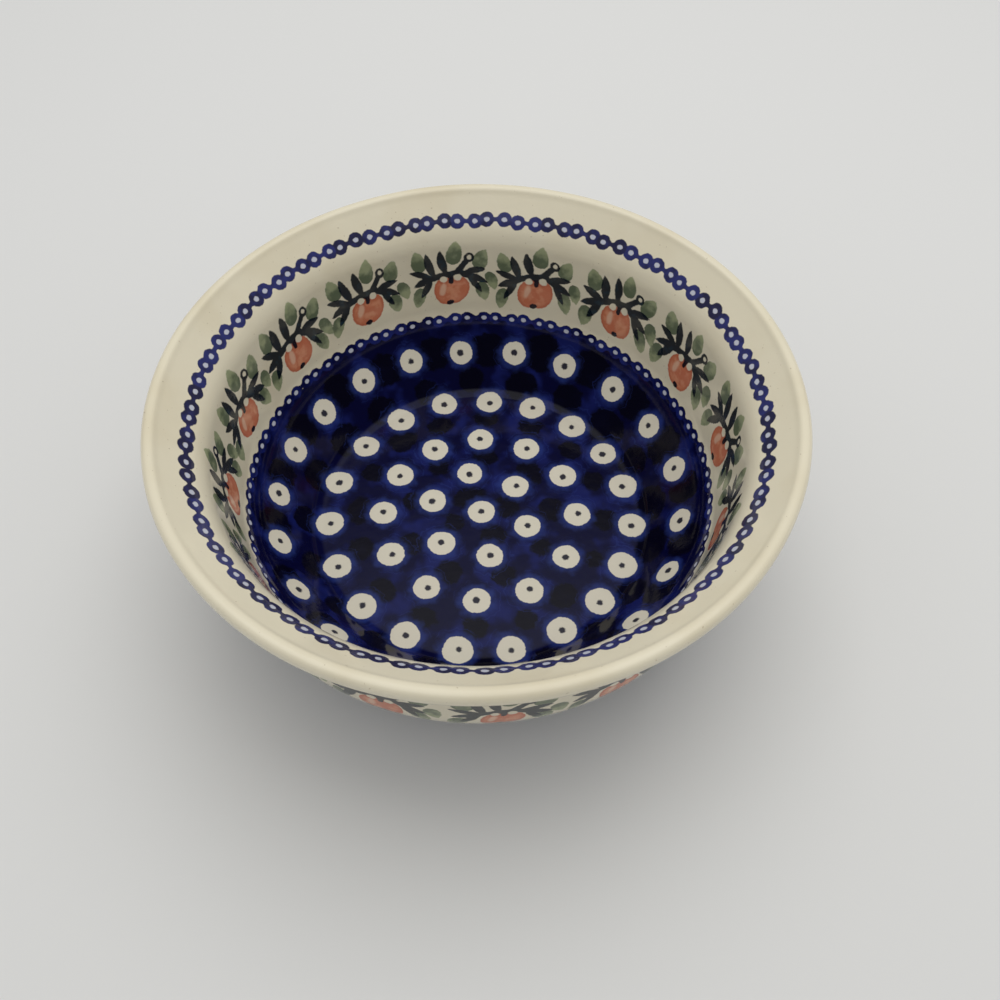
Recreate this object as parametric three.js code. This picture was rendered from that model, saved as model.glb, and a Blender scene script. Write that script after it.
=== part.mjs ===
// A glazed stoneware bowl with a flared rim, thrown round the Z axis.
// The clay body is one fired piece, and the coats of glaze on it are thin shells that follow its skin.
// Lengths are in millimetres. The origin is the middle of the face that the bowl stands on.
import * as THREE from "three";

// Overall sizes, over the glaze
const BOWL_DIAMETER = 197;
const BOWL_HEIGHT = 78.5;

// Inside of the clay: a flat floor, a lower wall, a steep upper wall, and a flare out to a raised lip
const FLOOR_DIAMETER = 116;
const BEND_RISE = 20.9;
const WALL_LEAN = 6.5;
const FLARE_REACH = 14.5;
const THROAT_DEPTH = 11.1;
const LIP_WIDTH = 2.2;
const LIP_RISE = 1.3;
const LIP_SLANT = 1.1;

// Thickness of the clay
const LIP_THICKNESS = 2.8;
const WALL_THICKNESS = 5.5;
const BELLY_THICKNESS = 8.4;
const FLOOR_THICKNESS = 6.2;

// Foot ring, turned in the clay
const FOOT_DIAMETER = 120;
const FOOT_WIDTH = 7;
const FOOT_HEIGHT = 5.6;
const FOOT_DRAFT = 1;
const WELL_DEPTH = 4.5;

// Rounding of the clay's corners
const CREASE_ROUND = 7;
const BEND_ROUND = 22;
const THROAT_ROUND = 15;
const GROOVE_ROUND = 12;
const LIP_EDGE_ROUND = 1;
const LIP_NOSE_ROUND = 1.3;
const FOOT_ROUND = 2;
const FOOT_EDGE_ROUND = 1;

// Coats of glaze: the lining stops below the bend, the border above the throat, the rim coat under the lip,
// and the outer coat above the foot ring
const GLAZE_THICKNESS = 0.5;
const COAT_GAP = 0.3;
const LINING_DROP = 2.6;
const BORDER_RISE = 0.9;
const RIM_REACH = 4;
const GLAZE_RISE = 0.8;

// Fineness of the solids: steps round the axis, and the turn of each step along an arc
const STEPS_ROUND = 48;
const ARC_STEP = THREE.MathUtils.degToRad(18);

// The clay stops short of the overall sizes by one coat. Its lip and throat hang from the top of the bowl,
// its floor and bend stand on the foot, its throat and bend lie within the rim by the reach of the flare and
// the lean of the wall, and its outer corners are rounded in line with the inner ones.
const COAT = COAT_GAP + GLAZE_THICKNESS;
const LIP_RADIUS = BOWL_DIAMETER / 2 - COAT;
const LIP_TOP = BOWL_HEIGHT - COAT;
const THROAT_RADIUS = BOWL_DIAMETER / 2 - FLARE_REACH;
const BEND_RADIUS = THROAT_RADIUS - WALL_LEAN;
const THROAT_HEIGHT = LIP_TOP - THROAT_DEPTH;
const FLOOR_HEIGHT = WELL_DEPTH + FLOOR_THICKNESS;
const BEND_HEIGHT = FLOOR_HEIGHT + BEND_RISE;
const BELLY_ROUND = BEND_ROUND + BELLY_THICKNESS;
const UNDER_FLARE_ROUND = THROAT_ROUND - WALL_THICKNESS;

// Heights where one coat gives way to the next
const LINING_TOP = BEND_HEIGHT - LINING_DROP;
const BORDER_TOP = THROAT_HEIGHT + BORDER_RISE;
const RIM_END = LIP_TOP - LIP_THICKNESS - RIM_REACH;
const GLAZE_LINE = FOOT_HEIGHT + GLAZE_RISE;

const at = (radius, height) => new THREE.Vector2(radius, height);
const heading = (from, to) => to.clone().sub(from).normalize();
const leftOf = (direction) => at(-direction.y, direction.x);

// Point where two lines meet that run at a distance to the left of the two legs of a corner
function mitre(before, corner, after, distance) {
  const first = leftOf(heading(before, corner));
  const second = leftOf(heading(corner, after));
  const middle = first.clone().add(second).normalize();
  return corner.clone().addScaledVector(middle, distance / middle.dot(first));
}

// Arc that rounds a corner, tangent to both of its legs
function arc(before, corner, after, radius) {
  const arriving = heading(before, corner);
  const leaving = heading(corner, after);
  const turn = Math.atan2(arriving.cross(leaving), arriving.dot(leaving));
  const start = corner.clone().addScaledVector(arriving, -radius * Math.tan(Math.abs(turn) / 2));
  const centre = start.clone().addScaledVector(leftOf(arriving), radius * Math.sign(turn));
  const steps = Math.ceil(Math.abs(turn) / ARC_STEP);
  const pointAt = (_, step) => start.clone().rotateAround(centre, (turn * step) / steps);
  return Array.from({ length: steps + 1 }, pointAt);
}

// Outline through a row of [corner, rounding] pairs, whose ends have no rounding
function rounded(corners) {
  return corners.flatMap(([corner, radius], index) => {
    if (!radius) return [corner];
    return arc(corners[index - 1][0], corner, corners[index + 1][0], radius);
  });
}

// Outline moved to its left by one distance, so that every run stays parallel to where it was.
// Past each end the outline goes straight on, to the mirror image of the end's neighbour.
function lifted(outline, distance) {
  const beyond = (end, neighbour) => end.clone().add(end).sub(neighbour);
  return outline.map((point, index) => {
    const before = outline[index - 1] ?? beyond(point, outline[index + 1]);
    const after = outline[index + 1] ?? beyond(point, outline[index - 1]);
    return mitre(before, point, after, distance);
  });
}

// Place along an outline, in points and parts of a run, where it crosses a height going up or going down
function crossing(outline, height, goingUp) {
  const run = outline.findIndex((point, index) => {
    const next = outline[index + 1] ?? point;
    return goingUp ? point.y <= height && next.y > height : point.y >= height && next.y < height;
  });
  return run + (height - outline[run].y) / (outline[run + 1].y - outline[run].y);
}

// Stretch of an outline between two places along it
function stretch(outline, from, to) {
  const place = (where) => {
    const run = Math.min(Math.floor(where), outline.length - 2);
    return outline[run].clone().lerp(outline[run + 1], where - run);
  };
  const between = outline.filter((_, index) => index > from && index < to);
  return [place(from), ...between, place(to)];
}

// Inside corners of the clay, from the middle of the floor up to the lip
const floorMiddle = at(0, FLOOR_HEIGHT);
const crease = at(FLOOR_DIAMETER / 2, FLOOR_HEIGHT);
const bend = at(BEND_RADIUS, BEND_HEIGHT);
const throat = at(THROAT_RADIUS, THROAT_HEIGHT);
const groove = at(LIP_RADIUS - LIP_WIDTH - LIP_SLANT, LIP_TOP - LIP_RISE);
const lipInner = at(LIP_RADIUS - LIP_WIDTH, LIP_TOP);
const lipOuter = at(LIP_RADIUS, LIP_TOP);

// Outside corners, from the lip down to the foot ring
const lipBottom = at(LIP_RADIUS, LIP_TOP - LIP_THICKNESS);
const underFlare = mitre(bend, throat, groove, -WALL_THICKNESS);
const belly = mitre(crease, bend, throat, -BELLY_THICKNESS);
const footTop = at(FOOT_DIAMETER / 2, FOOT_HEIGHT);
const footOuter = at(FOOT_DIAMETER / 2 - FOOT_DRAFT, 0);

// Corners underneath, from the standing face into the well inside the foot ring
const footInner = at(FOOT_DIAMETER / 2 - FOOT_WIDTH, 0);
const wellEdge = at(FOOT_DIAMETER / 2 - FOOT_WIDTH - FOOT_DRAFT, WELL_DEPTH);
const wellMiddle = at(0, WELL_DEPTH);

const skin = rounded([
  [floorMiddle, 0],
  [crease, CREASE_ROUND],
  [bend, BEND_ROUND],
  [throat, THROAT_ROUND],
  [groove, GROOVE_ROUND],
  [lipInner, LIP_EDGE_ROUND],
  [lipOuter, LIP_NOSE_ROUND],
  [lipBottom, LIP_NOSE_ROUND],
  [underFlare, UNDER_FLARE_ROUND],
  [belly, BELLY_ROUND],
  [footTop, FOOT_ROUND],
  [footOuter, FOOT_EDGE_ROUND],
  [footInner, FOOT_EDGE_ROUND],
  [wellEdge, FOOT_ROUND],
  [wellMiddle, 0],
]);

// Places along the skin where the coats end
const liningEnd = crossing(skin, LINING_TOP - COAT_GAP / 2, true);
const borderStart = crossing(skin, LINING_TOP + COAT_GAP / 2, true);
const borderEnd = crossing(skin, BORDER_TOP - COAT_GAP / 2, true);
const rimStart = crossing(skin, BORDER_TOP + COAT_GAP / 2, true);
const rimEnd = crossing(skin, RIM_END + COAT_GAP / 2, false);
const outerStart = crossing(skin, RIM_END - COAT_GAP / 2, false);
const outerEnd = crossing(skin, GLAZE_LINE, false);
const wellStart = skin.length - 2;

// Closed outline of a coat: its face over the clay, its back along the clay, and the end where it began
function coat(from, to) {
  const seat = stretch(skin, from, to);
  const face = lifted(seat, COAT);
  const back = lifted(seat, COAT_GAP).reverse();
  return [...face, ...back, face[0].clone()];
}

const bowl = new THREE.Group();

// Turns an outline round the Z axis into one named piece, whose faces look outwards when the outside climbs
function addTurned(name, outline, colour, roughness) {
  const climbing = [...outline].reverse();
  const geometry = new THREE.LatheGeometry(climbing, STEPS_ROUND).rotateX(Math.PI / 2);
  const material = new THREE.MeshStandardMaterial({ color: colour, roughness, metalness: 0 });
  const piece = new THREE.Mesh(geometry, material);
  piece.name = name;
  bowl.add(piece);
}

addTurned("clay_body", skin, 0xc8b69a, 0.85);
addTurned("cobalt_lining", coat(0, liningEnd), 0x1a1f4d, 0.15);
addTurned("border_glaze", coat(borderStart, borderEnd), 0xd6cdb8, 0.2);
addTurned("rim_glaze", coat(rimStart, rimEnd), 0xd6cdb8, 0.2);
addTurned("outer_glaze", coat(outerStart, outerEnd), 0xd6cdb8, 0.2);
addTurned("foot_well_glaze", coat(wellStart, skin.length - 1), 0xd6cdb8, 0.25);

export default bowl;
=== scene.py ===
"""Looks of a glazed stoneware bowl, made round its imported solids.

The clay body and the coats of glaze on it are turned round the Z axis from one section, in the solids' own
frame. The decoration under the glaze is drawn as distances on the points of each coat, which the finishes
turn into paint. Sizes of the bowl and its decoration are in millimetres, and meshes, lights and the camera
are in metres.
"""

import logging
import math
from collections.abc import Iterator
from dataclasses import dataclass, field
from enum import Enum

import bpy
import numpy as np
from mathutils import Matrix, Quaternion, Vector


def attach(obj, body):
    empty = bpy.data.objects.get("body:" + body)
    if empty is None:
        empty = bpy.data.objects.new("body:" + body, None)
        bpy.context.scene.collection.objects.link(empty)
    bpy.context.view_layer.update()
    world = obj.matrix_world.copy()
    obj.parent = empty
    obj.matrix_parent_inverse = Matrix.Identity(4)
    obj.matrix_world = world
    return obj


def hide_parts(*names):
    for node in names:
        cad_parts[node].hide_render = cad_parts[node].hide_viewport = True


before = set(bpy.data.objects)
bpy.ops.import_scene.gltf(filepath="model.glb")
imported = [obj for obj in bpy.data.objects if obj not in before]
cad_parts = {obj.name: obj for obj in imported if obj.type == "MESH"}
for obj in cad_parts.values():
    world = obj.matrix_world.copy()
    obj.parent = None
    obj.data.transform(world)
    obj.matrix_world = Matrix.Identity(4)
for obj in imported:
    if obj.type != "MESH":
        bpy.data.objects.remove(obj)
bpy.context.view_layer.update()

LOG = logging.getLogger("bowl")
MM = 0.001
ARC_STEP = math.radians(1.0)
FULL_TURN = 2 * math.pi
TINY = 1e-6
TO_END = math.inf
NOISE_MIDDLE = 0.5
CLEAR_GLOSS = 0.5
BODY = "root"
PLACE = "place"
BAKE_MAP = "OFBake"

Colour = tuple[float, float, float, float]
Socket = bpy.types.NodeSocket


class Paint(Enum):
    """Fields of the decoration on a coat's points.

    WATER and TONE go from 0 to 1. The others are distances in millimetres, below 0 inside a shape.
    """

    DOT = "dot"
    SPOT = "spot"
    DAB = "dab"
    COBALT = "cobalt"
    CHAIN = "chain"
    EYE = "eye"
    WATER = "water"
    TONE = "tone"
    PALE_LEAF = "pale_leaf"
    DARK_LEAF = "dark_leaf"
    FRUIT = "fruit"
    SHINE = "shine"


class Side(Enum):
    """Side of the wall that a row of stamps is seen from: which way round the bowl its right hand lies."""

    INSIDE = -1
    OUTSIDE = 1


def shade(red: int, green: int, blue: int) -> Colour:
    """Gives the linear colour of a screen colour.

    Args:
        red: Red part, from 0 to 255.
        green: Green part, from 0 to 255.
        blue: Blue part, from 0 to 255.

    Returns:
        The colour as Blender's sockets take it.
    """
    parts = (part / 255 for part in (red, green, blue))
    linear = (part / 12.92 if part <= 0.04045 else ((part + 0.055) / 1.055) ** 2.4 for part in parts)
    return (*linear, 1.0)


def heading(start: complex, end: complex) -> complex:
    """Gives the direction from one point of the section to another, of length 1."""
    return (end - start) / abs(end - start)


def mitre(before: complex, corner: complex, after: complex, distance: float) -> complex:
    """Finds where two lines meet that run beside the legs of a corner.

    Args:
        before: Point before the corner.
        corner: The corner.
        after: Point after the corner.
        distance: How far to the left of the legs the lines run.

    Returns:
        The meeting point.
    """
    first = 1j * heading(before, corner)
    second = 1j * heading(corner, after)
    middle = (first + second) / abs(first + second)
    return corner + middle * distance / (middle * first.conjugate()).real


def arc(before: complex, corner: complex, after: complex, radius: float) -> list[complex]:
    """Rounds a corner with an arc that is tangent to both of its legs.

    Args:
        before: Point before the corner.
        corner: The corner.
        after: Point after the corner.
        radius: Radius of the arc.

    Returns:
        Points along the arc.
    """
    arriving = heading(before, corner)
    leaving = heading(corner, after)
    turn = math.atan2((arriving.conjugate() * leaving).imag, (arriving.conjugate() * leaving).real)
    start = corner - arriving * radius * math.tan(abs(turn) / 2)
    centre = start + 1j * arriving * math.copysign(radius, turn)
    steps = math.ceil(abs(turn) / ARC_STEP)
    spin = [complex(math.cos(turn * n / steps), math.sin(turn * n / steps)) for n in range(steps + 1)]
    return [centre + (start - centre) * each for each in spin]


@dataclass(frozen=True)
class Outline:
    """A line in the section, whose points have the radius as their real part and the height as the other."""

    points: np.ndarray

    @classmethod
    def rounded(cls, corners: list[tuple[complex, float]]) -> "Outline":
        """Runs a line through corners that are rounded.

        Args:
            corners: Each corner with its rounding, which is 0 at both ends.

        Returns:
            The outline.
        """
        places = [corner for corner, _ in corners]
        line: list[complex] = []
        for index, (corner, radius) in enumerate(corners):
            line += arc(places[index - 1], corner, places[index + 1], radius) if radius else [corner]
        return cls(np.array(line))

    def lifted(self, distance: float | np.ndarray) -> "Outline":
        """Moves the line to its left.

        Args:
            distance: How far, for the whole line or for each of its points.

        Returns:
            The moved outline.
        """
        line = self.points
        before = np.concatenate([[2 * line[0] - line[1]], line[:-1]])
        after = np.concatenate([line[1:], [2 * line[-1] - line[-2]]])
        first = 1j * (line - before) / np.abs(line - before)
        middle = first + 1j * (after - line) / np.abs(after - line)
        middle /= np.abs(middle)
        return Outline(line + middle * distance / (middle * first.conj()).real)

    def crossing(self, height: float, going_up: bool) -> float:
        """Finds where the line crosses a height.

        Args:
            height: The height.
            going_up: Whether the line climbs there.

        Returns:
            The place, in points and parts of a run.
        """
        low, high = self.points.imag[:-1], self.points.imag[1:]
        found = (low <= height) & (high > height) if going_up else (low >= height) & (high < height)
        run = int(np.flatnonzero(found)[0])
        return run + (height - low[run]) / (high[run] - low[run])

    def stretch(self, start: float, end: float) -> "Outline":
        """Cuts out the part of the line between two places that crossing() gives.

        Args:
            start: Where the part begins.
            end: Where the part ends.

        Returns:
            The part.
        """
        numbers = np.arange(len(self.points))
        between = numbers[(numbers > start) & (numbers < end)]
        places = np.concatenate([[start], between, [end]])
        return Outline(np.interp(places, numbers, self.points))

    def lengths(self) -> np.ndarray:
        """Gives the length of the line up to each of its points."""
        return np.concatenate([[0.0], np.cumsum(np.abs(np.diff(self.points)))])

    def length(self) -> float:
        """Gives the length of the whole line."""
        return float(self.lengths()[-1])

    def sampled(self, places: np.ndarray) -> "Outline":
        """Gives the line through the points at these lengths along it."""
        return Outline(np.interp(places, self.lengths(), self.points))

    def length_at_height(self, height: float) -> float:
        """Gives the length along the line at a height, on its way up to its highest point.

        Args:
            height: The height.

        Returns:
            The length.
        """
        climb = slice(0, int(np.argmax(self.points.imag)) + 1)
        return float(np.interp(height, self.points.imag[climb], self.lengths()[climb]))

    def length_at_fall(self, height: float) -> float:
        """Gives the length along a falling line at a height."""
        return float(np.interp(-height, -self.points.imag, self.lengths()))


@dataclass(frozen=True)
class BowlSizes:
    """Driving sizes of the bowl, the same as those of its solids."""

    bowl_diameter: float = 197
    bowl_height: float = 78.5
    floor_diameter: float = 116
    bend_rise: float = 20.9
    wall_lean: float = 6.5
    flare_reach: float = 14.5
    throat_depth: float = 11.1
    lip_width: float = 2.2
    lip_rise: float = 1.3
    lip_slant: float = 1.1
    lip_thickness: float = 2.8
    wall_thickness: float = 5.5
    belly_thickness: float = 8.4
    floor_thickness: float = 6.2
    foot_diameter: float = 120
    foot_width: float = 7
    foot_height: float = 5.6
    foot_draft: float = 1
    well_depth: float = 4.5
    crease_round: float = 7
    bend_round: float = 22
    throat_round: float = 15
    groove_round: float = 12
    lip_edge_round: float = 1
    lip_nose_round: float = 1.3
    foot_round: float = 2
    foot_edge_round: float = 1
    coat: float = 0.8
    lining_drop: float = 2.6
    border_rise: float = 0.9
    rim_reach: float = 4
    glaze_rise: float = 0.8

    @property
    def lip_top(self) -> float:
        """Height of the clay's lip."""
        return self.bowl_height - self.coat

    @property
    def throat_height(self) -> float:
        """Height where the wall turns out to the flare."""
        return self.lip_top - self.throat_depth

    @property
    def floor_height(self) -> float:
        """Height of the clay's floor inside."""
        return self.well_depth + self.floor_thickness

    @property
    def bend_height(self) -> float:
        """Height where the lower wall turns up."""
        return self.floor_height + self.bend_rise

    def skin(self) -> Outline:
        """Draws the clay from the middle of its floor, over the lip and the foot, to the middle of the well.

        Returns:
            The outline, with the clay on its right.
        """
        lip_radius = self.bowl_diameter / 2 - self.coat
        foot_radius = self.foot_diameter / 2
        crease = complex(self.floor_diameter / 2, self.floor_height)
        throat = complex(self.bowl_diameter / 2 - self.flare_reach, self.throat_height)
        bend = complex(throat.real - self.wall_lean, self.bend_height)
        groove = complex(lip_radius - self.lip_width - self.lip_slant, self.lip_top - self.lip_rise)
        return Outline.rounded([
            (complex(0, self.floor_height), 0),
            (crease, self.crease_round),
            (bend, self.bend_round),
            (throat, self.throat_round),
            (groove, self.groove_round),
            (complex(lip_radius - self.lip_width, self.lip_top), self.lip_edge_round),
            (complex(lip_radius, self.lip_top), self.lip_nose_round),
            (complex(lip_radius, self.lip_top - self.lip_thickness), self.lip_nose_round),
            (mitre(bend, throat, groove, -self.wall_thickness), self.throat_round - self.wall_thickness),
            (mitre(crease, bend, throat, -self.belly_thickness), self.bend_round + self.belly_thickness),
            (complex(foot_radius, self.foot_height), self.foot_round),
            (complex(foot_radius - self.foot_draft, 0), self.foot_edge_round),
            (complex(foot_radius - self.foot_width, 0), self.foot_edge_round),
            (complex(foot_radius - self.foot_width - self.foot_draft, self.well_depth), self.foot_round),
            (complex(0, self.well_depth), 0),
        ])

    def lining_end(self, skin: Outline) -> float:
        """Finds the place along the skin where the lining gives way to the border."""
        return skin.crossing(self.bend_height - self.lining_drop, True)

    def border_end(self, skin: Outline) -> float:
        """Finds the place along the skin where the border gives way to the rim's coat."""
        return skin.crossing(self.throat_height + self.border_rise, True)

    def rim_end(self, skin: Outline) -> float:
        """Finds the place under the lip where the rim's coat gives way to the outer one."""
        return skin.crossing(self.lip_top - self.lip_thickness - self.rim_reach, False)

    def outer_end(self, skin: Outline) -> float:
        """Finds the place above the foot where the outer coat ends."""
        return skin.crossing(self.foot_height + self.glaze_rise, False)

    def inner_face(self) -> Outline:
        """Draws the glazed face of the floor and the wall, from the middle up to the rim's coat."""
        skin = self.skin()
        return skin.stretch(0, self.border_end(skin)).lifted(self.coat)


@dataclass(frozen=True)
class Section:
    """The line that is turned into one piece, with the length along it at each point.

    Fields:
        points: The line.
        places: Length up to each point.
        face_length: Length of the part that shows, which comes first.
        girth: Length of the whole line, with the run that closes it.
        closed: Whether the line closes on itself, and doesn't end on the axis.
    """

    points: np.ndarray
    places: np.ndarray
    face_length: float
    girth: float
    closed: bool


class TurningWheel:
    """Geometry Nodes that turn a section into a piece, with the slight wobble of a bowl thrown by hand."""

    PATH_RADIUS = 0.1
    STILL_FOOT = 0.003
    FULL_WOBBLE = 0.02
    HAND_WOBBLE = 0.0005
    WOBBLE_SCALE = 22.0
    WOBBLE_SEED = 7.0
    WELD = 1e-6

    def __init__(self) -> None:
        """Builds the tree and notes the identifiers of its inputs."""
        self.tree = bpy.data.node_groups.new("turn_section", "GeometryNodeTree")
        self.inputs: dict[str, str] = {}
        kinds = {
            "Section": "NodeSocketGeometry",
            "Steps Round": "NodeSocketInt",
            "Hand Wobble": "NodeSocketFloat",
            "Wobble Scale": "NodeSocketFloat",
            "Seed": "NodeSocketFloat",
            "Finish": "NodeSocketMaterial",
        }
        for name, kind in kinds.items():
            socket = self.tree.interface.new_socket(name, in_out="INPUT", socket_type=kind)
            self.inputs[name] = socket.identifier
        self.tree.interface.new_socket("Piece", in_out="OUTPUT", socket_type="NodeSocketGeometry")
        self._wire()

    def _node(self, kind: str, **links: object) -> bpy.types.Node:
        """Adds a node to the tree.

        Args:
            kind: Blender's name for the node.
            links: Sockets or values for its inputs, with _ for the spaces in their names.

        Returns:
            The node.
        """
        node = self.tree.nodes.new(kind)
        for name, value in links.items():
            socket = node.inputs[name.replace("_", " ")]
            if isinstance(value, Socket):
                self.tree.links.new(value, socket)
            else:
                socket.default_value = value
        return node

    def _wire(self) -> None:
        """Links the nodes: the section goes round a circle, is welded on the axis, and wobbles."""
        given = self._node("NodeGroupInput").outputs
        section = self._node("GeometryNodeMeshToCurve", Mesh=given["Section"])
        circle = self._node(
            "GeometryNodeCurvePrimitiveCircle", Resolution=given["Steps Round"], Radius=self.PATH_RADIUS
        )
        upright = self._node("GeometryNodeSetCurveNormal", Curve=circle.outputs["Curve"])
        upright.mode = "Z_UP"
        turned = self._node(
            "GeometryNodeCurveToMesh", Curve=upright.outputs["Curve"], Profile_Curve=section.outputs["Curve"]
        )
        welded = self._node(
            "GeometryNodeMergeByDistance", Geometry=turned.outputs["Mesh"], Distance=self.WELD
        )
        moved = self._node(
            "GeometryNodeSetPosition", Geometry=welded.outputs["Geometry"], Offset=self._wobble(given)
        )
        smooth = self._node("GeometryNodeSetShadeSmooth", Geometry=moved.outputs["Geometry"])
        real = self._node("GeometryNodeRealizeInstances", Geometry=smooth.outputs["Geometry"])
        dressed = self._node(
            "GeometryNodeSetMaterial", Geometry=real.outputs["Geometry"], Material=given["Finish"]
        )
        self._node("NodeGroupOutput", Piece=dressed.outputs["Geometry"])

    def _wobble(self, given: bpy.types.bpy_prop_collection) -> Socket:
        """Wires the wobble, which is the same at one place for every piece and fades out at the foot.

        Args:
            given: The tree's inputs.

        Returns:
            How far each point moves.
        """
        where = self._node("GeometryNodeInputPosition").outputs["Position"]
        noise = self._node("ShaderNodeTexNoise", Vector=where, Scale=given["Wobble Scale"], Detail=1.0)
        noise.noise_dimensions = "4D"
        self.tree.links.new(given["Seed"], noise.inputs["W"])
        centred = self._node("ShaderNodeVectorMath", Vector=noise.outputs["Color"])
        centred.operation = "SUBTRACT"
        centred.inputs[1].default_value = (NOISE_MIDDLE, NOISE_MIDDLE, NOISE_MIDDLE)
        height = self._node("ShaderNodeSeparateXYZ", Vector=where).outputs["Z"]
        fade = self._node(
            "ShaderNodeMapRange", Value=height, From_Min=self.STILL_FOOT, From_Max=self.FULL_WOBBLE
        )
        amount = self._node("ShaderNodeMath")
        amount.operation = "MULTIPLY"
        self.tree.links.new(fade.outputs["Result"], amount.inputs[0])
        self.tree.links.new(given["Hand Wobble"], amount.inputs[1])
        scaled = self._node("ShaderNodeVectorMath", Vector=centred.outputs["Vector"])
        scaled.operation = "SCALE"
        self.tree.links.new(amount.outputs["Value"], scaled.inputs["Scale"])
        return scaled.outputs["Vector"]

    def turn(
        self, name: str, section: Section, steps_round: int, finish: bpy.types.Material
    ) -> bpy.types.Object:
        """Turns a section into a plain mesh.

        Args:
            name: Name of the piece.
            section: What is turned.
            steps_round: Steps round the axis.
            finish: Material of the piece.

        Returns:
            The piece, at the origin.
        """
        line = bpy.data.meshes.new(name + "_section")
        count = len(section.points)
        corners = np.stack([
            section.points.real * MM - self.PATH_RADIUS, -section.points.imag * MM, np.zeros(count)
        ], axis=1)
        edges = [(n, n + 1) for n in range(count - 1)]
        if section.closed:
            edges.append((count - 1, 0))
        line.from_pydata(corners.tolist(), edges, [])
        line.attributes.new(PLACE, "FLOAT", "POINT").data.foreach_set("value", section.places)
        piece = bpy.data.objects.new(name, line)
        bpy.context.scene.collection.objects.link(piece)
        modifier = piece.modifiers.new("turning", "NODES")
        modifier.node_group = self.tree
        settings = {
            "Steps Round": steps_round,
            "Hand Wobble": self.HAND_WOBBLE,
            "Wobble Scale": self.WOBBLE_SCALE,
            "Seed": self.WOBBLE_SEED,
            "Finish": finish,
        }
        for label, value in settings.items():
            modifier[self.inputs[label]] = value
        evaluated = piece.evaluated_get(bpy.context.evaluated_depsgraph_get())
        mesh = bpy.data.meshes.new_from_object(evaluated)
        mesh.name = name
        piece.modifiers.remove(modifier)
        piece.data = mesh
        bpy.data.meshes.remove(line)
        return piece


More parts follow.
